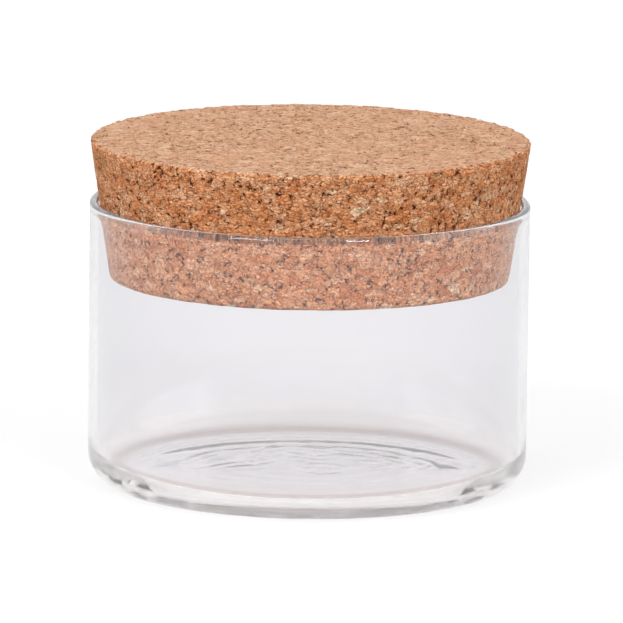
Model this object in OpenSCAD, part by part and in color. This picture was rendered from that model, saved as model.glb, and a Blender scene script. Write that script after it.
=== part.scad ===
// A low, straight-sided glass jar with a fire-polished lip, closed by a tapered cork stopper.
// Millimetres, +Z up. The origin is on the table, in the middle of the jar's foot.

/* [Glass wall] */
// Outside diameter of the glass
jar_d = 100; // [80:1:130]
// Height of the glass from the table to the top of the lip
jar_h = 65; // [50:1:110]
// Thickness of the side wall
wall_t = 1.9; // [1.5:0.1:3]
// How much thicker the melted lip is than the wall
lip_swell = 0.2; // [0.1:0.1:0.8]

/* [Glass floor] */
// Thickness of the floor
floor_t = 3.7; // [2.4:0.1:5]
// Outside radius of the heel, where the wall turns into the foot
heel_r = 7.5; // [5:0.5:10]
// Inside radius between the floor and the wall
heel_in_r = 5.5; // [3:0.5:8]
// Width of the flat foot ring that the jar stands on
foot_w = 4; // [2:0.5:8]
// Height of the push-up, the hollow under the floor
punt_h = 1.2; // [0.6:0.1:1.6]
// Width of the slope from the foot ring up to the flat middle of the push-up
punt_run = 10; // [4:1:16]
// Radius of the innermost ripple in the floor, the eye where the glass was closed
ripple_r = 4; // [3:0.5:8]
// Distance from one ripple to the next
ripple_pitch = 8.5; // [6.5:0.5:12]
// Width of one ripple
ripple_w = 5.5; // [3:0.5:6]
// Depth of one ripple
ripple_d = 0.3; // [0.1:0.05:0.5]

/* [Cork stopper] */
// Thickness of the stopper from its top face to its bottom face
stopper_h = 31.5; // [28:0.5:45]
// Depth of the bottom face below the top of the lip
stopper_in = 17.2; // [8:0.2:25]
// Slope of the stopper's side from the vertical, in degrees
stopper_taper = 8.6; // [4:0.1:12]
// Clearance between the stopper's side and the lip that it sits in
stopper_fit = 0.15; // [0.1:0.05:0.4]
// Rounding of the top edge
top_edge_r = 0.8; // [0.4:0.1:2]
// Rounding of the bottom edge
bottom_edge_r = 1.2; // [0.6:0.1:3]

/* [Hidden] */

jar_r = jar_d / 2;
bore_r = jar_r - wall_t;

// The lip is a round bead, flush with the outside of the wall
lip_r = (wall_t + lip_swell) / 2;
lip_x = jar_r - lip_r;
lip_z = jar_h - lip_r;

// How far a cut runs past the face that it opens
past = 1;

// The flat foot ring runs from the push-up out to the heel
foot_r = jar_r - heel_r;
punt_r = foot_r - foot_w;

// As many ripples as the flat of the floor has room for
flat_r = bore_r - heel_in_r;
ripple_n = floor((flat_r - ripple_r - ripple_w / 2) / ripple_pitch) + 1;
ripple_arc_r = (pow(ripple_w / 2, 2) + pow(ripple_d, 2)) / (2 * ripple_d);

// The stopper's side passes the lip's bead at the clearance, so its sizes follow the mouth
stopper_z0 = jar_h - stopper_in;
stopper_z1 = stopper_z0 + stopper_h;
side_c = cos(stopper_taper);
side_s = sin(stopper_taper);
function side_x(z) = lip_x - (lip_r + stopper_fit) / side_c + (z - lip_z) * side_s / side_c;

// Centre of a rounding of radius r at height z that touches the sloping side
function edge_x(z, r) = side_x(z) - r / side_c;

// A flat-topped shape with a rounded bottom corner, from the axis to x and from z0 to z1
module round_bottom(x, z0, z1, r) {
    translate([0, z0]) square([x - r, z1 - z0]);
    translate([0, z0 + r]) square([x, z1 - z0 - r]);
    translate([x - r, z0 + r]) circle(r, $fn = 96);
}

// The hollow under the floor: a flat middle and a slope down to the foot ring
module punt_profile() {
    polygon([
        [0, -past],
        [punt_r + past * punt_run / punt_h, -past],
        [punt_r - punt_run, punt_h],
        [0, punt_h]
    ]);
}

// The ripples are shallow arcs pressed into the floor's upper face
module ripple_profile() {
    for (i = [0 : ripple_n - 1])
        translate([ripple_r + i * ripple_pitch, floor_t])
            intersection() {
                translate([0, ripple_arc_r - ripple_d]) circle(ripple_arc_r, $fn = 180);
                translate([-ripple_w / 2, -ripple_d]) square([ripple_w, 2 * ripple_d]);
            }
}

module jar_profile() {
    difference() {
        round_bottom(jar_r, 0, lip_z, heel_r);
        round_bottom(bore_r, floor_t, jar_h, heel_in_r);
        punt_profile();
        ripple_profile();
    }
    translate([lip_x, lip_z]) circle(lip_r, $fn = 48);
}

module stopper_profile() {
    zb = stopper_z0 + bottom_edge_r;
    zt = stopper_z1 - top_edge_r;
    xb = edge_x(zb, bottom_edge_r);
    xt = edge_x(zt, top_edge_r);
    polygon([
        [0, stopper_z0],
        [xb, stopper_z0],
        [xb + bottom_edge_r * side_c, zb - bottom_edge_r * side_s],
        [xt + top_edge_r * side_c, zt - top_edge_r * side_s],
        [xt, stopper_z1],
        [0, stopper_z1]
    ]);
    translate([xb, zb]) circle(bottom_edge_r, $fn = 48);
    translate([xt, zt]) circle(top_edge_r, $fn = 48);
}

module glass_jar() {
    color([0.86, 0.88, 0.89, 0.4]) rotate_extrude($fn = 180) jar_profile();
}

module cork_stopper() {
    color("#c8935f") rotate_extrude($fn = 180) stopper_profile();
}

glass_jar();
cork_stopper();
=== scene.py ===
import bpy
import math
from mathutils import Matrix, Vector


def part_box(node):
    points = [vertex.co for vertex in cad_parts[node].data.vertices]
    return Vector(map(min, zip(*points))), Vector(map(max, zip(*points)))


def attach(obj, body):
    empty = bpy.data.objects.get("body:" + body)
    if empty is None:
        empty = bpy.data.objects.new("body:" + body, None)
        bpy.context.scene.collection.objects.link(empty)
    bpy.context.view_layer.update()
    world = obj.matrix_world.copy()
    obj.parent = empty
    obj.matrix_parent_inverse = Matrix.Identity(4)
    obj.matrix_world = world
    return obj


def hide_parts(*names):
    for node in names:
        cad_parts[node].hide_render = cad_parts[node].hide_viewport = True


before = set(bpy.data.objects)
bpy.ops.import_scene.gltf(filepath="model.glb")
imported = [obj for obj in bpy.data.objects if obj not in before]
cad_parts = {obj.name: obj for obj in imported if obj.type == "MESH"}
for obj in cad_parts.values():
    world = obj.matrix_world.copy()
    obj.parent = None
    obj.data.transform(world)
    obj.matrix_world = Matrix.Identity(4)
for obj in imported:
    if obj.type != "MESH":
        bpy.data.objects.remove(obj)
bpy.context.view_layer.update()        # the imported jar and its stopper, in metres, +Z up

millimetre = 0.001
weldDistance = 0.002 * millimetre   # points closer together than this become one
flatTolerance = 0.01 * millimetre   # how far a point of a flat face may lie off its height


# Small helpers

def hexColour(text):
    # an sRGB hex value as the linear colour that the shaders work in
    parts = [int(text[i:i + 2], 16) / 255 for i in (1, 3, 5)]
    return tuple(c / 12.92 if c <= 0.04045 else ((c + 0.055) / 1.055) ** 2.4 for c in parts) + (1.0,)


def addNode(tree, kind, inputs=None, **settings):
    # one node with its settings, its plain values and its links; an input goes by its name or its number
    node = tree.nodes.new(kind)
    for name, value in settings.items():
        setattr(node, name, value)
    for key, value in (inputs or {}).items():
        if isinstance(value, bpy.types.NodeSocket):
            tree.links.new(value, node.inputs[key])
        else:
            node.inputs[key].default_value = value
    return node


def newMaterial(name):
    material = bpy.data.materials.new(name)
    material.use_nodes = True
    material.node_tree.nodes.clear()
    return material, material.node_tree


def deselectAll():
    if bpy.context.object and bpy.context.object.mode != "OBJECT":
        bpy.ops.object.mode_set(mode="OBJECT")
    bpy.ops.object.select_all(action="DESELECT")


def makeActive(piece):
    deselectAll()
    piece.select_set(True)
    bpy.context.view_layer.objects.active = piece


def applyModifier(piece, kind, **settings):
    # the piece is left active and selected
    makeActive(piece)
    modifier = piece.modifiers.new(kind.title(), kind)
    for name, value in settings.items():
        setattr(modifier, name, value)
    bpy.ops.object.modifier_apply(modifier=modifier.name)


def arc(x, z, radius, first, last, steps):
    # points on an arc, in degrees from the outward direction
    angles = [math.radians(first + (last - first) * i / steps) for i in range(steps + 1)]
    return [(x + radius * math.cos(a), z + radius * math.sin(a)) for a in angles]


def straight(start, end, steps):
    # the points between two ends, without the ends
    return [tuple(a + (b - a) * i / steps for a, b in zip(start, end)) for i in range(1, steps)]


def spinProfile(profile, turnSteps):
    # a half section drawn point by point, then spun round the jar's axis
    deselectAll()
    bpy.ops.mesh.primitive_plane_add(size=millimetre, location=(profile[0][0], 0, profile[0][1]))
    piece = bpy.context.object
    bpy.ops.object.mode_set(mode="EDIT")
    bpy.ops.mesh.select_all(action="SELECT")
    bpy.ops.mesh.merge(type="CENTER")
    for here, there in zip(profile, profile[1:]):
        step = (there[0] - here[0], 0, there[1] - here[1])
        bpy.ops.mesh.extrude_region_move(TRANSFORM_OT_translate={"value": step})
    bpy.ops.mesh.select_all(action="SELECT")
    bpy.ops.mesh.spin(steps=turnSteps, angle=2 * math.pi, center=(0, 0, 0), axis=(0, 0, 1))
    bpy.ops.mesh.select_all(action="SELECT")
    bpy.ops.mesh.remove_doubles(threshold=weldDistance)
    bpy.ops.mesh.normals_make_consistent(inside=False)
    bpy.ops.object.mode_set(mode="OBJECT")
    bpy.ops.object.transform_apply(location=True, rotation=True, scale=True)
    return piece


def finishPiece(piece, name, body, node, material):
    piece.name = name
    piece.data.name = name
    piece.data.materials.clear()
    piece.data.materials.append(material)
    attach(piece, body)
    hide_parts(node)
    print(name, "has", sum(len(p.vertices) - 2 for p in piece.data.polygons), "triangles")


# Camera, at the photograph's angle, far off with a long lens

view = {
    "distance": 2.5,
    "elevation": 10.4,       # degrees above the table
    "focus": (0.00063, 0.0, 0.03946),
    "pivotHeight": 0.035,    # the camera turns about this point on the jar's axis
    "roll": 0.72,            # degrees, the photograph leans a little clockwise
    "framePixels": 623,      # the photograph's width
    "focalPixels": 10998,    # the lens's focal length, in the photograph's pixels
    "sensor": 36,
    "clipStart": 0.05,
    "clipEnd": 50,
}


def placeCamera():
    data = bpy.data.cameras.new("photoCamera")
    camera = bpy.data.objects.new("photoCamera", data)
    bpy.context.collection.objects.link(camera)
    tilt = math.radians(view["elevation"])
    distance = view["distance"]
    camera.location = (0, -distance * math.cos(tilt), view["pivotHeight"] + distance * math.sin(tilt))
    aim = (Vector(view["focus"]) - camera.location).to_track_quat("-Z", "Y")
    camera.rotation_euler = aim.to_euler()
    camera.rotation_euler.rotate_axis("Z", math.radians(view["roll"]))
    data.sensor_width = view["sensor"]
    data.lens = view["focalPixels"] * view["sensor"] / view["framePixels"]
    data.clip_start = view["clipStart"]
    data.clip_end = view["clipEnd"]
    bpy.context.scene.camera = camera
    print("camera placed")


# Studio: a white floor, soft lamps and an even white room

studio = {
    "floorRadius": 6.0,
    "floorDrop": 0.0002,         # metres from the jar's foot down to the floor
    "floorColour": "#989898",
    "floorGlow": 0.635,          # what the floor adds for the eye, so that it ends up white
    "farGlow": 0.76,             # further from the jar, where less lamp light falls
    "glowReach": (0.1, 0.9),     # metres from the jar's axis between which that changes
    "roomLight": 0.45,
    "mirroredNear": 1.0,         # how white the floor round the jar's foot looks in a mirror image
    "mirrored": 0.68,            # and the floor and the room further away
    "mirrorReach": (0.1, 0.35),  # metres from the jar's axis between which that changes
    "throughGlass": 0.98,        # how white the room looks through glass, by way of the jar's own reflections
    "lightBounces": 160,         # light runs far inside the glass wall before it comes out
    "aimHeight": 0.04,           # the lamps point at this height on the jar's axis
    "lamps": [
        # name, degrees round from the camera, height, distance along the floor, size, watts
        ("overheadLamp", -10, 2.6, 0.3, 1.5, 19.0),
        ("leftLamp", -33, 0.95, 1.25, 0.6, 12.0),
        ("rightLamp", 27, 0.85, 1.35, 0.32, 9.0),
        ("leftFill", -84, 0.35, 1.3, 1.4, 8.5),
        ("rightFill", 84, 0.35, 1.3, 1.4, 10.0),
    ],
}


def seenRays(tree, mirroring, throughGlass):
    # how much of the studio's white a ray sees: all of it from the camera, less in a mirror image or through
    # glass, and none where the ray only gathers light for another surface
    path = addNode(tree, "ShaderNodeLightPath")
    mirrored = addNode(tree, "ShaderNodeMath", {0: path.outputs["Is Glossy Ray"], 1: mirroring},
                       operation="MULTIPLY")
    either = addNode(tree, "ShaderNodeMath", {0: path.outputs["Is Camera Ray"], 1: mirrored.outputs[0]},
                     operation="MAXIMUM")
    through = addNode(tree, "ShaderNodeMath", {0: path.outputs["Is Transmission Ray"], 1: throughGlass},
                      operation="MULTIPLY")
    return addNode(tree, "ShaderNodeMath", {0: either.outputs[0], 1: through.outputs[0]},
                   operation="MAXIMUM").outputs[0]


def buildStudio():
    deselectAll()
    bpy.ops.mesh.primitive_circle_add(vertices=64, radius=studio["floorRadius"], fill_type="NGON",
                                      location=(0, 0, -studio["floorDrop"]))
    floor = bpy.context.object
    floor.name = "studioFloor"
    material, tree = newMaterial("mattWhitePaper")
    matt = addNode(tree, "ShaderNodeBsdfDiffuse", {"Color": hexColour(studio["floorColour"])})
    place = addNode(tree, "ShaderNodeTexCoord").outputs["Object"]
    away = addNode(tree, "ShaderNodeVectorMath", {0: place}, operation="LENGTH").outputs["Value"]
    near, far = studio["glowReach"]
    level = addNode(tree, "ShaderNodeMapRange", {"Value": away, "From Min": near, "From Max": far,
                    "To Min": studio["floorGlow"], "To Max": studio["farGlow"]}).outputs[0]
    near, far = studio["mirrorReach"]
    mirroring = addNode(tree, "ShaderNodeMapRange", {"Value": away, "From Min": near, "From Max": far,
                        "To Min": studio["mirroredNear"], "To Max": studio["mirrored"]}).outputs[0]
    amount = addNode(tree, "ShaderNodeMath", {0: seenRays(tree, mirroring, 1.0), 1: level},
                     operation="MULTIPLY")
    glow = addNode(tree, "ShaderNodeEmission", {"Strength": amount.outputs[0]})
    both = addNode(tree, "ShaderNodeAddShader", {0: matt.outputs[0], 1: glow.outputs[0]})
    addNode(tree, "ShaderNodeOutputMaterial", {"Surface": both.outputs[0]})
    floor.data.materials.append(material)

    world = bpy.data.worlds.new("studioRoom")
    bpy.context.scene.world = world
    world.use_nodes = True
    tree = world.node_tree
    tree.nodes.clear()
    seen = seenRays(tree, studio["mirrored"], studio["throughGlass"])
    level = addNode(tree, "ShaderNodeMapRange", {"Value": seen, "To Min": studio["roomLight"], "To Max": 1.0})
    light = addNode(tree, "ShaderNodeBackground", {"Color": (1, 1, 1, 1), "Strength": level.outputs[0]})
    addNode(tree, "ShaderNodeOutputWorld", {"Surface": light.outputs[0]})

    for name, turn, height, distance, size, watts in studio["lamps"]:
        data = bpy.data.lights.new(name, "AREA")
        data.size = size
        data.energy = watts
        lamp = bpy.data.objects.new(name, data)
        angle = math.radians(turn)
        lamp.location = (distance * math.sin(angle), -distance * math.cos(angle), height)
        aim = Vector((0, 0, studio["aimHeight"])) - lamp.location
        lamp.rotation_euler = aim.to_track_quat("-Z", "Y").to_euler()
        bpy.context.collection.objects.link(lamp)

    cycles = bpy.context.scene.cycles
    cycles.max_bounces = studio["lightBounces"]
    cycles.glossy_bounces = studio["lightBounces"]
    cycles.transmission_bounces = studio["lightBounces"]
    print("studio built")


# The glass jar

jarLow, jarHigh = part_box("glass_jar")
jar = {
    "radius": (jarHigh.x - jarLow.x) / 2,
    "height": jarHigh.z,
    "wall": 1.9 * millimetre,
    "lipThickness": 2.1 * millimetre,
    "lipSwell": 0.1 * millimetre,      # how far the lip's bead stands out from the wall
    "lipBlend": 1.4 * millimetre,      # length of the slope from the bead into the wall
    "floor": 3.7 * millimetre,
    "heelOuter": 7.5 * millimetre,
    "heelInner": 5.5 * millimetre,
    "footWidth": 4 * millimetre,
    "puntHeight": 1.2 * millimetre,    # the push-up under the floor
    "puntRun": 10 * millimetre,        # its slope, measured along the table
    "rippleStart": 4 * millimetre,
    "ripplePitch": 8.5 * millimetre,
    "rippleDepth": 0.03 * millimetre,
    "turnSteps": 256,
    # points along each stretch of the section
    "steps": {"punt": 8, "slope": 6, "foot": 4, "heel": 14, "outerWall": 24, "innerWall": 26,
              "lipBlend": 6, "lip": 32, "floor": 120},
    "smoothAngle": 40,                 # degrees, only sharper edges stay sharp

    # the swirls in the floor's upper face
    "eye": (3.4, -1.0, 0.0),           # their middle, in millimetres
    "swirlPitch": 9.0,                 # millimetres from one swirl to the next
    "swirlDepth": 0.045 * millimetre,
    "swirlWander": 20.0,               # how far the swirls stray from circles, in millimetres
    "wanderScale": 0.05,               # that straying bends about every 20 mm
    "wanderNoise": (0.25, 0.75),       # the noise levels of the farthest strays
    "swirlShares": {
        # from and to, in millimetres, with the share up to the first and the share past the second
        "wander": (2.0, 16.0, 0.0, 1.0),    # outward from the eye, the swirls stray more
        "calm": (-9.0, 5.0, 0.12, 1.0),     # from the front of the floor to its back, they grow
        "eye": (4.0, 8.0, 1.6, 0.0),        # the eye itself stands out most
        "above": (2.6, 3.2, 0.0, 1.0),      # the underside stays as it is
        "below": (3.8, 4.1, 1.0, 0.0),      # and so does all that is higher than the floor
        "fade": (30.0, 41.0, 1.0, 0.0),     # outward from the axis, the swirls die away
    },

    # the glass
    "glassColour": "#F4F3F5",
    "edgeColour": "#E2E2E5",           # seen at a slant, where the eye looks along the wall
    "slantBlend": 0.25,                # how slanted that is, from 0 to 1
    "floorColour": "#F8F6F7",          # painted light: the thick floor is tinted warmer than the wall, standing in for the cork's light seen in it
    "floorTint": (5 * millimetre, 13 * millimetre),       # heights between which it turns to glassColour
    "heelShade": "#BFB2AE",           # painted shade and painted reflection of the cork, where the thick floor turns up into the wall
    "ringPlace": (0.75, 0.12),         # its middle, in shares of heelInner, in from the wall and up
    "ringReach": (0.6 * millimetre, 3.6 * millimetre),    # full up to the first, gone at the second
    "cornerShade": "#F8F5F4",         # painted shade: a faint warm darkening of the heel's outer face that tones down the lamps' glints seen there
    "cornerDepth": (5.5 * millimetre, 3 * millimetre),    # in from the jar's outside, none and full
    "cornerHeight": (5 * millimetre, 11 * millimetre),    # up from the foot, full and none
    "streakSize": 18 * millimetre,     # soft unevenness of drawn glass
    "streakHeight": 0.2 * millimetre,
    "streakStrength": 0.03,
    "wipeSize": 25 * millimetre,       # faint wiping marks
    "wipeNoise": (0.35, 0.7),
    "wipeRoughness": 0.03,
    "clearness": 0.985,                # the rest is a haze of handling
    "shadowColour": "#E0DFE2",         # what the glass lets through of a lamp's light
    "bendIndex": 1.474,
    "greyingPerMetre": 4,
    "greyingColour": (0.81, 0.82, 0.80, 1.0),
}


def jarProfile():
    # half a section of the jar, from the middle of the push-up round to the middle of the floor
    outer = jar["radius"] - jar["lipSwell"]
    inner = outer - jar["wall"]
    heel, heelIn, floorTop, punt = jar["heelOuter"], jar["heelInner"], jar["floor"], jar["puntHeight"]
    footOuter = outer - heel
    puntEdge = footOuter - jar["footWidth"]
    puntFlat = puntEdge - jar["puntRun"]
    lip = jar["lipThickness"] / 2
    lipX, lipZ = jar["radius"] - lip, jar["height"] - lip
    lipFoot = lipZ - jar["lipBlend"]
    flat = inner - heelIn
    steps = jar["steps"]

    def eased(start, end, count):
        # a smooth step from one radius and height to another
        turns = [(i / count, 0.5 - 0.5 * math.cos(math.pi * i / count)) for i in range(1, count)]
        return [(start[0] + (end[0] - start[0]) * e, start[1] + (end[1] - start[1]) * t) for t, e in turns]

    def rippled(x):
        wave = 0.5 + 0.5 * math.cos(2 * math.pi * (x - jar["rippleStart"]) / jar["ripplePitch"])
        fade = min(1.0, (flat - x) / jar["ripplePitch"])
        return floorTop - jar["rippleDepth"] * wave * fade

    points = [(0, punt)] + straight((0, punt), (puntFlat, punt), steps["punt"]) + [(puntFlat, punt)]
    points += straight((puntFlat, punt), (puntEdge, 0), steps["slope"]) + [(puntEdge, 0)]
    points += straight((puntEdge, 0), (footOuter, 0), steps["foot"])
    points += arc(footOuter, heel, heel, -90, 0, steps["heel"])
    points += straight((outer, heel), (outer, lipFoot), steps["outerWall"]) + [(outer, lipFoot)]
    points += eased((outer, lipFoot), (lipX + lip, lipZ), steps["lipBlend"])
    points += arc(lipX, lipZ, lip, 0, 180, steps["lip"])
    points += eased((lipX - lip, lipZ), (inner, lipFoot), steps["lipBlend"]) + [(inner, lipFoot)]
    points += straight((inner, lipFoot), (inner, floorTop + heelIn), steps["innerWall"])
    points += arc(flat, floorTop + heelIn, heelIn, 0, -90, steps["heel"])
    radii = [flat * (1 - i / steps["floor"]) for i in range(1, steps["floor"] + 1)]
    points += [(x, rippled(x)) for x in radii]
    return points


def borosilicateGlass():
    # Clear borosilicate glass, drawn and fire-polished: it bends the view at its thick lip and heel, mirrors
    # the studio faintly and greys what is behind it a little
    material, tree = newMaterial("borosilicateGlass")
    place = addNode(tree, "ShaderNodeTexCoord").outputs["Object"]
    streaks = addNode(tree, "ShaderNodeTexNoise", {"Vector": place, "Scale": 1 / jar["streakSize"],
                      "Detail": 0.0})
    bump = addNode(tree, "ShaderNodeBump", {"Height": streaks.outputs["Fac"],
                   "Strength": jar["streakStrength"], "Distance": jar["streakHeight"]})

    # the floor's painted warm light turns to the wall's tint, and both to the edge colour where the glass is
    # seen at a slant
    parts = addNode(tree, "ShaderNodeSeparateXYZ", {0: place}).outputs
    low, high = jar["floorTint"]
    upWall = addNode(tree, "ShaderNodeMapRange", {"Value": parts[2], "From Min": low, "From Max": high},
                     interpolation_type="SMOOTHSTEP")
    plain = addNode(tree, "ShaderNodeMix", {0: upWall.outputs[0], 6: hexColour(jar["floorColour"]),
                    7: hexColour(jar["glassColour"])}, data_type="RGBA")
    slant = addNode(tree, "ShaderNodeLayerWeight", {"Blend": jar["slantBlend"]}).outputs["Facing"]
    tint = addNode(tree, "ShaderNodeMix", {0: slant, 6: plain.outputs[2],
                   7: hexColour(jar["edgeColour"])}, data_type="RGBA")

    # painted shade and painted reflection: a darker, warm ring where the floor turns up into the wall,
    # standing in for the cork's shadow and its brown seen there
    flat = addNode(tree, "ShaderNodeCombineXYZ", {0: parts[0], 1: parts[1]}).outputs[0]
    across = addNode(tree, "ShaderNodeVectorMath", {0: flat}, operation="LENGTH").outputs["Value"]
    section = addNode(tree, "ShaderNodeCombineXYZ", {0: across, 1: parts[2]}).outputs[0]
    inward, upward = jar["ringPlace"]
    ring = (jar["radius"] - jar["wall"] - inward * jar["heelInner"],
            jar["floor"] + upward * jar["heelInner"], 0)
    offRing = addNode(tree, "ShaderNodeVectorMath", {0: section, 1: ring},
                      operation="DISTANCE").outputs["Value"]
    low, high = jar["ringReach"]
    heelShadeMask = addNode(tree, "ShaderNodeMapRange", {"Value": offRing, "From Min": low, "From Max": high,
                   "To Min": 1.0, "To Max": 0.0}, interpolation_type="SMOOTHSTEP")
    heelShaded = addNode(tree, "ShaderNodeMix", {0: heelShadeMask.outputs[0], 6: tint.outputs[2],
                     7: hexColour(jar["heelShade"])}, data_type="RGBA")

    # painted shade on the outer face of the heel, toning down the lamps' glints there
    deep, shallow = jar["cornerDepth"]
    outward = addNode(tree, "ShaderNodeMapRange", {"Value": across, "From Min": jar["radius"] - deep,
                      "From Max": jar["radius"] - shallow}).outputs[0]
    low, high = jar["cornerHeight"]
    down = addNode(tree, "ShaderNodeMapRange", {"Value": parts[2], "From Min": low, "From Max": high,
                   "To Min": 1.0, "To Max": 0.0}).outputs[0]
    cornerShadeMask = addNode(tree, "ShaderNodeMath", {0: outward, 1: down}, operation="MULTIPLY")
    finished = addNode(tree, "ShaderNodeMix", {0: cornerShadeMask.outputs[0], 6: heelShaded.outputs[2],
                       7: hexColour(jar["cornerShade"])}, data_type="RGBA")

    # faint wiping marks that dull the polish
    wiped = addNode(tree, "ShaderNodeTexNoise", {"Vector": place, "Scale": 1 / jar["wipeSize"],
                    "Detail": 3.0, "Distortion": 1.0})
    low, high = jar["wipeNoise"]
    polish = addNode(tree, "ShaderNodeMapRange", {"Value": wiped.outputs["Fac"], "From Min": low,
                     "From Max": high, "To Min": 0.0, "To Max": jar["wipeRoughness"]})
    glass = addNode(tree, "ShaderNodeBsdfPrincipled", {"Base Color": finished.outputs[2],
                    "Roughness": polish.outputs[0], "IOR": jar["bendIndex"],
                    "Transmission Weight": jar["clearness"], "Normal": bump.outputs["Normal"]})

    # lamps shine through, so that the jar throws only a pale shadow
    clear = addNode(tree, "ShaderNodeBsdfTransparent", {"Color": hexColour(jar["shadowColour"])})
    path = addNode(tree, "ShaderNodeLightPath")
    both = addNode(tree, "ShaderNodeMixShader", {0: path.outputs["Is Shadow Ray"], 1: glass.outputs[0],
                   2: clear.outputs[0]})
    depth = addNode(tree, "ShaderNodeVolumeAbsorption", {"Color": jar["greyingColour"],
                    "Density": jar["greyingPerMetre"]})
    addNode(tree, "ShaderNodeOutputMaterial", {"Surface": both.outputs[0], "Volume": depth.outputs[0]})
    return material


def floorSwirls():
    # a modifier that draws irregular swirls into the upper face of the floor, calmer in front of the eye
    group = bpy.data.node_groups.new("floorSwirls", "GeometryNodeTree")
    group.interface.new_socket("Geometry", in_out="INPUT", socket_type="NodeSocketGeometry")
    group.interface.new_socket("Geometry", in_out="OUTPUT", socket_type="NodeSocketGeometry")
    start = addNode(group, "NodeGroupInput")
    place = addNode(group, "GeometryNodeInputPosition").outputs[0]
    spot = addNode(group, "ShaderNodeVectorMath", {0: place, "Scale": 1 / millimetre},
                   operation="SCALE").outputs[0]
    parts = addNode(group, "ShaderNodeSeparateXYZ", {0: spot}).outputs
    flat = addNode(group, "ShaderNodeCombineXYZ", {0: parts[0], 1: parts[1]}).outputs[0]
    across = addNode(group, "ShaderNodeVectorMath", {0: flat}, operation="LENGTH").outputs["Value"]
    centred = addNode(group, "ShaderNodeVectorMath", {0: flat, 1: jar["eye"]},
                      operation="SUBTRACT").outputs[0]
    near = addNode(group, "ShaderNodeVectorMath", {0: centred}, operation="LENGTH").outputs["Value"]

    # what each share is measured by
    measured = {"wander": near, "calm": parts[1], "eye": near, "above": parts[2], "below": parts[2],
                "fade": across}
    share = {}
    for name, value in measured.items():
        here, there, before, past = jar["swirlShares"][name]
        share[name] = addNode(group, "ShaderNodeMapRange", {"Value": value, "From Min": here,
                              "From Max": there, "To Min": before, "To Max": past},
                              interpolation_type="SMOOTHSTEP").outputs[0]

    # rings round the eye that stray from circles
    wander = addNode(group, "ShaderNodeTexNoise", {"Vector": flat, "Scale": jar["wanderScale"],
                     "Detail": 1.0})
    low, high = jar["wanderNoise"]
    offset = addNode(group, "ShaderNodeMapRange", {"Value": wander.outputs["Fac"], "From Min": low,
                     "From Max": high, "To Min": -0.5 * jar["swirlWander"],
                     "To Max": 0.5 * jar["swirlWander"]}, interpolation_type="SMOOTHSTEP").outputs[0]
    strayed = addNode(group, "ShaderNodeMath", {0: offset, 1: share["wander"]}, operation="MULTIPLY")
    reach = addNode(group, "ShaderNodeMath", {0: strayed.outputs[0], 1: near}, operation="ADD")
    turn = addNode(group, "ShaderNodeMath", {0: reach.outputs[0], 1: 2 * math.pi / jar["swirlPitch"]},
                   operation="MULTIPLY")
    wave = addNode(group, "ShaderNodeMath", {0: turn.outputs[0]}, operation="COSINE")

    # their height, on the upper face alone
    lively = addNode(group, "ShaderNodeMath", {0: share["calm"], 1: share["eye"]}, operation="MAXIMUM")
    upper = addNode(group, "ShaderNodeMath", {0: share["above"], 1: share["below"]}, operation="MULTIPLY")
    inside = addNode(group, "ShaderNodeMath", {0: upper.outputs[0], 1: share["fade"]}, operation="MULTIPLY")
    swirl = addNode(group, "ShaderNodeMath", {0: wave.outputs[0], 1: lively.outputs[0]},
                    operation="MULTIPLY")
    most = addNode(group, "ShaderNodeMath", {0: inside.outputs[0], 1: jar["swirlDepth"]},
                   operation="MULTIPLY")
    height = addNode(group, "ShaderNodeMath", {0: swirl.outputs[0], 1: most.outputs[0]},
                     operation="MULTIPLY")
    move = addNode(group, "ShaderNodeCombineXYZ", {2: height.outputs[0]})
    moved = addNode(group, "GeometryNodeSetPosition", {"Geometry": start.outputs[0],
                    "Offset": move.outputs[0]})
    addNode(group, "NodeGroupOutput", {0: moved.outputs[0]})
    return group


def buildJar():
    piece = spinProfile(jarProfile(), jar["turnSteps"])
    applyModifier(piece, "NODES", node_group=floorSwirls())
    bpy.ops.object.shade_smooth_by_angle(angle=math.radians(jar["smoothAngle"]))
    finishPiece(piece, "clearGlassJar", "jar", "glass_jar", borosilicateGlass())
    print("glass jar built")


# The cork stopper

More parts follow.
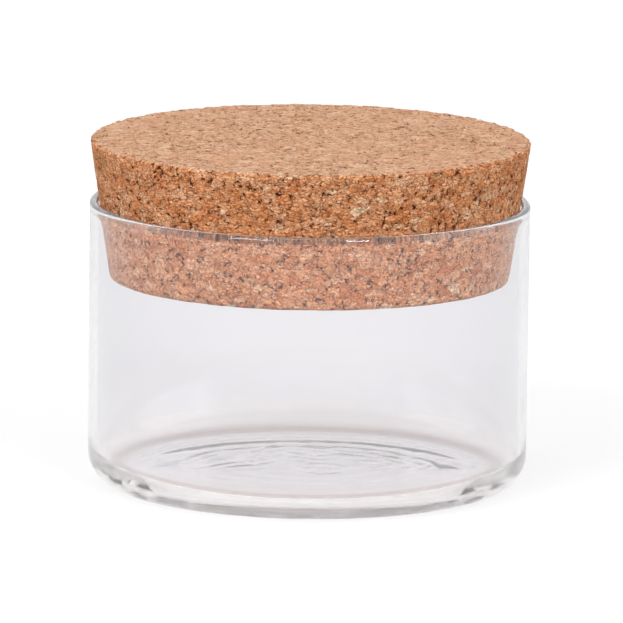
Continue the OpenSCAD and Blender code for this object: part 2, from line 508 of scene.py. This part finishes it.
corkLow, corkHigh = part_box("cork_stopper")
cork = {
    "bottom": corkLow.z,
    "top": corkHigh.z,
    "widest": (corkHigh.x - corkLow.x) / 2,
    "taper": 8.6,                # degrees from the vertical
    "topEdge": 0.8 * millimetre,
    "bottomEdge": 1.2 * millimetre,
    "turnSteps": 600,
    "sideRows": 60,
    "edgeSteps": 5,
    "faceSpan": 150,             # quads across each flat face

    # the packing of the granules, in millimetres
    "bigGranule": 3.6,
    "smallGranule": 2.2,
    "bigShare": 0.34,            # how many of the granules are big ones, from 0 to 1
    "flake": 1.15,               # the flakes that a granule breaks into
    "crumble": 0.9,              # how ragged a granule's outline is
    "raggedScale": 0.8,          # that outline bends about every 1.25 mm
    "pressed": 1.6,              # a granule is this much wider than it is high
    "seamWidth": 0.25,           # glue seams between granules
    "crackWidth": 0.16,          # cracks between flakes
    "pitWidth": 0.36,            # the widest open pit along a seam
    "shut": 0.001,               # the width of a crack or a pit that is closed
    "openingScale": 0.85,        # cracks and pits open in patches about 1.2 mm across
    "crackNoise": (0.38, 0.5),   # the noise levels at which cracks start to open and are fully open
    "pitNoise": (0.55, 0.74),    # and pits
    "crumbShare": 0.24,          # how many flakes have lost a crumb
    "crumbRadius": 0.3,          # the largest lost crumb
    "slitDepth": 1.5,            # over 1, a slit or a crumb's pit has a flat bottom
    "crumbDepth": 2.0,
    "domeShare": 0.3,            # how far in from its edge a flake is rounded, in shares of its size

    # the relief of the mesh
    "pitDepth": 0.35 * millimetre,
    "unevenness": 0.1 * millimetre,
    "edgeChips": 0.7 * millimetre,
    "edgeReach": 1.6 * millimetre,
    "chipScale": 0.7,            # chips about 1.4 mm long
    "chipNoise": (0.4, 0.7),

    # the colours
    "granules": [(0.0, "#C8A27A"), (0.03, "#D58856"), (0.18, "#E09663"), (0.5, "#E8A576"),
                 (0.82, "#EBB085"), (0.96, "#EDBA92"), (1.0, "#F2CFA8")],
    "mottleScale": 0.6,          # soft mottling about 1.7 mm across
    "mottleTone": (0.93, 1.07),  # from the darkest spots to the lightest
    "grainScale": 2.5,           # the cells of the bark, drawn ten times coarser so that they show
    "grainTone": (0.76, 1.24),
    "flakeTone": (0.88, 1.07),
    "toneNoise": (0.3, 0.7),     # the noise levels of the darkest spots and the lightest
    "sanded": "#D3BDA5",         # the dust of sanding, on the top alone
    "sandedShare": 0.48,
    "sandedReach": (0.5 * millimetre, 0.15 * millimetre),   # under the top face, none and full
    "seam": "#A8602B",
    "seamShare": 0.4,
    # painted shade in the cracks between flakes and inside the open pits
    "crack": "#8A3D13",
    "crackShare": (0.85, 0.5),   # how much of a crack shows, on the side and on the top
    "pitShade": "#521F08",
    "pitShare": (1.0, 0.68),
    "lipShade": "#8C7A6B",         # painted shade: darkens the cork in the lip's shadow, where the lip presses on it
    "lipShadeHeight": 64.0 * millimetre,
    "lipShadeReach": (0.25 * millimetre, 1.2 * millimetre),   # up or down from there, full and gone
    "streakScale": 0.9,          # the painted shade lies in streaks about 1.1 mm wide
    "streakShare": (0.35, 0.95),  # how dark they are, from the faintest to the strongest

    # the dry surface
    "grainRelief": 0.7,          # against the rounding of a flake
    "flakeStep": 0.5,            # how much higher one flake stands than another, in the same measure
    "reliefHeight": 0.26 * millimetre,
    "dullness": (0.8, 0.95),
    "sheen": 0.15,
}


def granuleField(tree, place):
    # The packing of the cork's granules, shared by the mesh and the material so that pits and colours agree.
    # place is in metres. Gives the numbers of a granule and of its flake, seams and cracks from 0 to 1, how
    # far a spot lies inside a pit, how high it stands on its flake, and the spot in millimetres.
    spot = addNode(tree, "ShaderNodeVectorMath", {0: place, "Scale": 1 / millimetre},
                   operation="SCALE").outputs[0]
    wander = addNode(tree, "ShaderNodeTexNoise", {"Vector": spot, "Scale": cork["raggedScale"],
                     "Detail": 3.0, "Roughness": 0.6})
    centred = addNode(tree, "ShaderNodeVectorMath", {0: wander.outputs["Color"], 1: (0.5, 0.5, 0.5)},
                      operation="SUBTRACT")
    pushed = addNode(tree, "ShaderNodeVectorMath", {0: centred.outputs[0], "Scale": 2 * cork["crumble"]},
                     operation="SCALE")
    added = addNode(tree, "ShaderNodeVectorMath", {0: spot, 1: pushed.outputs[0]}, operation="ADD")
    warped = addNode(tree, "ShaderNodeVectorMath", {0: added.outputs[0], 1: (1.0, 1.0, cork["pressed"])},
                     operation="MULTIPLY").outputs[0]

    def cells(size):
        # a cell's random numbers, a spot's distance to the cell's edge and to its middle
        colour = addNode(tree, "ShaderNodeTexVoronoi", {"Vector": warped, "Scale": 1 / size})
        edge = addNode(tree, "ShaderNodeTexVoronoi", {"Vector": warped, "Scale": 1 / size},
                       feature="DISTANCE_TO_EDGE")
        parts = addNode(tree, "ShaderNodeSeparateXYZ", {0: colour.outputs["Color"]}).outputs
        width = addNode(tree, "ShaderNodeMath", {0: edge.outputs["Distance"], 1: size}, operation="MULTIPLY")
        away = addNode(tree, "ShaderNodeMath", {0: colour.outputs["Distance"], 1: size},
                       operation="MULTIPLY")
        return parts, width.outputs[0], away.outputs[0]

    bigParts, bigEdge, _ = cells(cork["bigGranule"])
    smallParts, smallEdge, _ = cells(cork["smallGranule"])
    flakeParts, flakeEdge, flakeAway = cells(cork["flake"])
    isBig = addNode(tree, "ShaderNodeMath", {0: bigParts[1], 1: cork["bigShare"]},
                    operation="LESS_THAN").outputs[0]
    number = addNode(tree, "ShaderNodeMix", {0: isBig, 2: smallParts[0], 3: bigParts[0]}).outputs[0]
    nearer = addNode(tree, "ShaderNodeMath", {0: bigEdge, 1: smallEdge}, operation="MINIMUM")
    edge = addNode(tree, "ShaderNodeMix", {0: isBig, 2: nearer.outputs[0], 3: bigEdge}).outputs[0]
    seam = addNode(tree, "ShaderNodeMapRange", {"Value": edge, "From Max": cork["seamWidth"],
                   "To Min": 1.0, "To Max": 0.0}).outputs[0]

    # cracks round some of the flakes, and slits that open along the seams only where the noise is high
    gaping = addNode(tree, "ShaderNodeTexNoise", {"Vector": spot, "Scale": cork["openingScale"],
                     "Detail": 1.0, "Roughness": 0.5}).outputs["Fac"]
    low, high = cork["crackNoise"]
    crackHere = addNode(tree, "ShaderNodeMapRange", {"Value": gaping, "From Min": low, "From Max": high,
                        "To Min": cork["shut"], "To Max": cork["crackWidth"]}).outputs[0]
    crack = addNode(tree, "ShaderNodeMapRange", {"Value": flakeEdge, "From Max": crackHere,
                    "To Min": 1.0, "To Max": 0.0}).outputs[0]
    low, high = cork["pitNoise"]
    slitHere = addNode(tree, "ShaderNodeMapRange", {"Value": gaping, "From Min": low, "From Max": high,
                       "To Min": cork["shut"], "To Max": cork["pitWidth"]}).outputs[0]
    slit = addNode(tree, "ShaderNodeMapRange", {"Value": edge, "From Max": slitHere,
                   "To Min": cork["slitDepth"], "To Max": 0.0}).outputs[0]

    # small round pits where crumbs fell out
    radius = addNode(tree, "ShaderNodeMapRange", {"Value": flakeParts[2],
                     "From Min": 1 - cork["crumbShare"], "From Max": 1.0,
                     "To Min": cork["shut"], "To Max": cork["crumbRadius"]}).outputs[0]
    crumb = addNode(tree, "ShaderNodeMapRange", {"Value": flakeAway, "From Max": radius,
                    "To Min": cork["crumbDepth"], "To Max": 0.0}).outputs[0]
    deeper = addNode(tree, "ShaderNodeMath", {0: slit, 1: crumb}, operation="MAXIMUM").outputs[0]
    hollow = addNode(tree, "ShaderNodeMath", {0: deeper, 1: 1.0}, operation="MINIMUM").outputs[0]
    dome = addNode(tree, "ShaderNodeMapRange", {"Value": flakeEdge,
                   "From Max": cork["domeShare"] * cork["flake"]}).outputs[0]
    return {"granule": number, "flake": flakeParts[0], "seam": seam, "crack": crack, "hollow": hollow,
            "dome": dome, "spot": spot}


def agglomeratedCork():
    # Agglomerated cork: bark granules glued under pressure, then ground to a cone and sanded on top. It
    # gives a mottle of tan, orange and brown flakes, open pits between them darkened with painted shade,
    # and a dull dry surface
    material, tree = newMaterial("agglomeratedCork")
    place = addNode(tree, "ShaderNodeTexCoord").outputs["Object"]
    field = granuleField(tree, place)
    ramp = addNode(tree, "ShaderNodeValToRGB", {0: field["granule"]})
    elements = ramp.color_ramp.elements
    # a new ramp already has two stops
    for i, (at, colour) in enumerate(cork["granules"]):
        element = elements[i] if i < 2 else elements.new(at)
        element.position = at
        element.color = hexColour(colour)

    # soft mottling inside the granules, a fine grain of cells, and a tone for each flake
    mottle = addNode(tree, "ShaderNodeTexNoise", {"Vector": field["spot"], "Scale": cork["mottleScale"],
                     "Detail": 3.0, "Roughness": 0.7, "Distortion": 0.8}).outputs["Fac"]
    grain = addNode(tree, "ShaderNodeTexNoise", {"Vector": field["spot"], "Scale": cork["grainScale"],
                    "Detail": 2.0, "Roughness": 0.6}).outputs["Fac"]
    low, high = cork["toneNoise"]
    dark, light = cork["mottleTone"]
    mottleTone = addNode(tree, "ShaderNodeMapRange", {"Value": mottle, "From Min": low, "From Max": high,
                         "To Min": dark, "To Max": light}).outputs[0]
    dark, light = cork["grainTone"]
    grainTone = addNode(tree, "ShaderNodeMapRange", {"Value": grain, "From Min": low, "From Max": high,
                        "To Min": dark, "To Max": light}).outputs[0]
    dark, light = cork["flakeTone"]
    flakeTone = addNode(tree, "ShaderNodeMapRange", {"Value": field["flake"], "To Min": dark,
                        "To Max": light}).outputs[0]
    cellTone = addNode(tree, "ShaderNodeMath", {0: mottleTone, 1: grainTone}, operation="MULTIPLY")
    tone = addNode(tree, "ShaderNodeMath", {0: cellTone.outputs[0], 1: flakeTone}, operation="MULTIPLY")
    toned = addNode(tree, "ShaderNodeVectorMath", {0: ramp.outputs[0], "Scale": tone.outputs[0]},
                    operation="SCALE")

    # over that lie the dust of the sanded top, then glue seams, then painted shade in the cracks and pits,
    # which dust fills a little
    parts = addNode(tree, "ShaderNodeSeparateXYZ", {0: place}).outputs
    under, over = cork["sandedReach"]
    onTop = addNode(tree, "ShaderNodeMapRange", {"Value": parts[2], "From Min": cork["top"] - under,
                    "From Max": cork["top"] - over}).outputs[0]
    onSide, onFace = cork["crackShare"]
    crackShare = addNode(tree, "ShaderNodeMapRange", {"Value": onTop, "To Min": onSide,
                         "To Max": onFace}).outputs[0]
    onSide, onFace = cork["pitShare"]
    pitShare = addNode(tree, "ShaderNodeMapRange", {"Value": onTop, "To Min": onSide,
                       "To Max": onFace}).outputs[0]
    layers = [("sanded", onTop, cork["sandedShare"]), ("seam", field["seam"], cork["seamShare"]),
              ("crack", field["crack"], crackShare), ("pitShade", field["hollow"], pitShare)]
    layered = toned.outputs[0]
    for name, mask, share in layers:
        shown = addNode(tree, "ShaderNodeMath", {0: mask, 1: share}, operation="MULTIPLY")
        layered = addNode(tree, "ShaderNodeMix", {0: shown.outputs[0], 6: layered,
                          7: hexColour(cork[name])}, data_type="RGBA").outputs[2]

    # painted shade: a darker belt round the side where the lip shades the cork, in streaks that run up and
    # down
    offBelt = addNode(tree, "ShaderNodeMath", {0: parts[2], 1: cork["lipShadeHeight"]}, operation="SUBTRACT")
    fromBelt = addNode(tree, "ShaderNodeMath", {0: offBelt.outputs[0]}, operation="ABSOLUTE").outputs[0]
    full, gone = cork["lipShadeReach"]
    belt = addNode(tree, "ShaderNodeMapRange", {"Value": fromBelt, "From Min": full, "From Max": gone,
                   "To Min": 1.0, "To Max": 0.0}).outputs[0]
    flat = addNode(tree, "ShaderNodeCombineXYZ", {0: parts[0], 1: parts[1]}).outputs[0]
    streaks = addNode(tree, "ShaderNodeTexNoise", {"Vector": flat,
                      "Scale": cork["streakScale"] / millimetre, "Detail": 2.0})
    low, high = cork["toneNoise"]
    weak, strong = cork["streakShare"]
    streak = addNode(tree, "ShaderNodeMapRange", {"Value": streaks.outputs["Fac"], "From Min": low,
                     "From Max": high, "To Min": weak, "To Max": strong}).outputs[0]
    lipShade = addNode(tree, "ShaderNodeMath", {0: belt, 1: streak}, operation="MULTIPLY")
    colour = addNode(tree, "ShaderNodeMix", {0: lipShade.outputs[0], 6: layered,
                     7: hexColour(cork["lipShade"])}, data_type="RGBA", blend_type="MULTIPLY").outputs[2]

    # rounded flakes at different heights, with grain on them and pits between them
    raised = addNode(tree, "ShaderNodeMath", {0: grain, 1: cork["grainRelief"], 2: field["dome"]},
                     operation="MULTIPLY_ADD")
    tilted = addNode(tree, "ShaderNodeMath", {0: field["flake"], 1: cork["flakeStep"],
                     2: raised.outputs[0]}, operation="MULTIPLY_ADD")
    lowered = addNode(tree, "ShaderNodeMath", {0: tilted.outputs[0], 1: field["hollow"]},
                      operation="SUBTRACT")
    bump = addNode(tree, "ShaderNodeBump", {"Height": lowered.outputs[0], "Strength": 1.0,
                   "Distance": cork["reliefHeight"]})
    least, most = cork["dullness"]
    dull = addNode(tree, "ShaderNodeMapRange", {"Value": mottle, "To Min": least, "To Max": most})
    finish = addNode(tree, "ShaderNodeBsdfPrincipled", {"Base Color": colour, "Roughness": dull.outputs[0],
                     "Specular IOR Level": cork["sheen"], "Normal": bump.outputs["Normal"]})
    addNode(tree, "ShaderNodeOutputMaterial", {"Surface": finish.outputs[0]})
    return material


def granuleRelief():
    # a modifier that sinks the pits into the mesh and lets the granules stand a little unevenly
    group = bpy.data.node_groups.new("granuleRelief", "GeometryNodeTree")
    group.interface.new_socket("Geometry", in_out="INPUT", socket_type="NodeSocketGeometry")
    group.interface.new_socket("Geometry", in_out="OUTPUT", socket_type="NodeSocketGeometry")
    start = addNode(group, "NodeGroupInput")
    place = addNode(group, "GeometryNodeInputPosition").outputs[0]
    field = granuleField(group, place)
    sunk = addNode(group, "ShaderNodeMath", {0: field["hollow"], 1: cork["pitDepth"]}, operation="MULTIPLY")
    uneven = addNode(group, "ShaderNodeMath", {0: field["granule"], 1: cork["unevenness"]},
                     operation="MULTIPLY")
    lower = addNode(group, "ShaderNodeMath", {0: sunk.outputs[0], 1: uneven.outputs[0]}, operation="ADD")

    # crumbs broken off the top edge
    parts = addNode(group, "ShaderNodeSeparateXYZ", {0: place}).outputs
    flat = addNode(group, "ShaderNodeCombineXYZ", {0: parts[0], 1: parts[1]}).outputs[0]
    across = addNode(group, "ShaderNodeVectorMath", {0: flat}, operation="LENGTH").outputs["Value"]
    nearRim = addNode(group, "ShaderNodeMapRange", {"Value": across,
                      "From Min": cork["widest"] - cork["edgeReach"], "From Max": cork["widest"]}).outputs[0]
    nearTop = addNode(group, "ShaderNodeMapRange", {"Value": parts[2],
                      "From Min": cork["top"] - cork["edgeReach"], "From Max": cork["top"]}).outputs[0]
    nearEdge = addNode(group, "ShaderNodeMath", {0: nearRim, 1: nearTop}, operation="MULTIPLY").outputs[0]
    broken = addNode(group, "ShaderNodeTexNoise", {"Vector": field["spot"], "Scale": cork["chipScale"],
                     "Detail": 2.0})
    low, high = cork["chipNoise"]
    bite = addNode(group, "ShaderNodeMapRange", {"Value": broken.outputs["Fac"], "From Min": low,
                   "From Max": high, "To Min": 0.0, "To Max": cork["edgeChips"]}).outputs[0]
    chipped = addNode(group, "ShaderNodeMath", {0: nearEdge, 1: bite}, operation="MULTIPLY")
    total = addNode(group, "ShaderNodeMath", {0: lower.outputs[0], 1: chipped.outputs[0]}, operation="ADD")
    inward = addNode(group, "ShaderNodeMath", {0: total.outputs[0], 1: -1.0}, operation="MULTIPLY")
    normal = addNode(group, "GeometryNodeInputNormal").outputs[0]
    move = addNode(group, "ShaderNodeVectorMath", {0: normal, "Scale": inward.outputs[0]},
                   operation="SCALE")
    moved = addNode(group, "GeometryNodeSetPosition", {"Geometry": start.outputs[0],
                    "Offset": move.outputs[0]})
    addNode(group, "NodeGroupOutput", {0: moved.outputs[0]})
    return group


def stopperProfile():
    # the stopper's side with its two rounded edges, from the bottom face up to the top face
    slope = math.radians(cork["taper"])
    low, high = cork["bottomEdge"], cork["topEdge"]
    topX, topZ = cork["widest"] - high, cork["top"] - high
    sideAtTop = topX + high / math.cos(slope)
    lowZ = cork["bottom"] + low
    lowX = sideAtTop - (topZ - lowZ) * math.tan(slope) - low / math.cos(slope)
    points = arc(lowX, lowZ, low, -90, -cork["taper"], cork["edgeSteps"])
    top = arc(topX, topZ, high, -cork["taper"], 90, cork["edgeSteps"])
    return points + straight(points[-1], top[0], cork["sideRows"]) + top


def buildStopper():
    piece = spinProfile(stopperProfile(), cork["turnSteps"])

    # the open top and bottom are filled with quads, from their rim inwards
    for level in (cork["top"], cork["bottom"]):
        makeActive(piece)
        bpy.ops.object.mode_set(mode="EDIT")
        bpy.ops.mesh.select_mode(type="EDGE")
        bpy.ops.mesh.select_all(action="DESELECT")
        bpy.ops.object.mode_set(mode="OBJECT")
        for edge in piece.data.edges:
            heights = [piece.data.vertices[i].co.z for i in edge.vertices]
            edge.select = all(abs(z - level) < flatTolerance for z in heights)
        bpy.ops.object.mode_set(mode="EDIT")
        bpy.ops.mesh.fill_grid(span=cork["faceSpan"])
        bpy.ops.object.mode_set(mode="OBJECT")
    makeActive(piece)
    bpy.ops.object.mode_set(mode="EDIT")
    bpy.ops.mesh.select_all(action="SELECT")
    bpy.ops.mesh.normals_make_consistent(inside=False)
    bpy.ops.object.mode_set(mode="OBJECT")
    applyModifier(piece, "NODES", node_group=granuleRelief())
    bpy.ops.object.shade_smooth()
    finishPiece(piece, "corkStopper", "stopper", "cork_stopper", agglomeratedCork())
    print("cork stopper built")


placeCamera()
buildStudio()
buildJar()
buildStopper()

bpy.context.scene.view_settings.view_transform = "Standard"
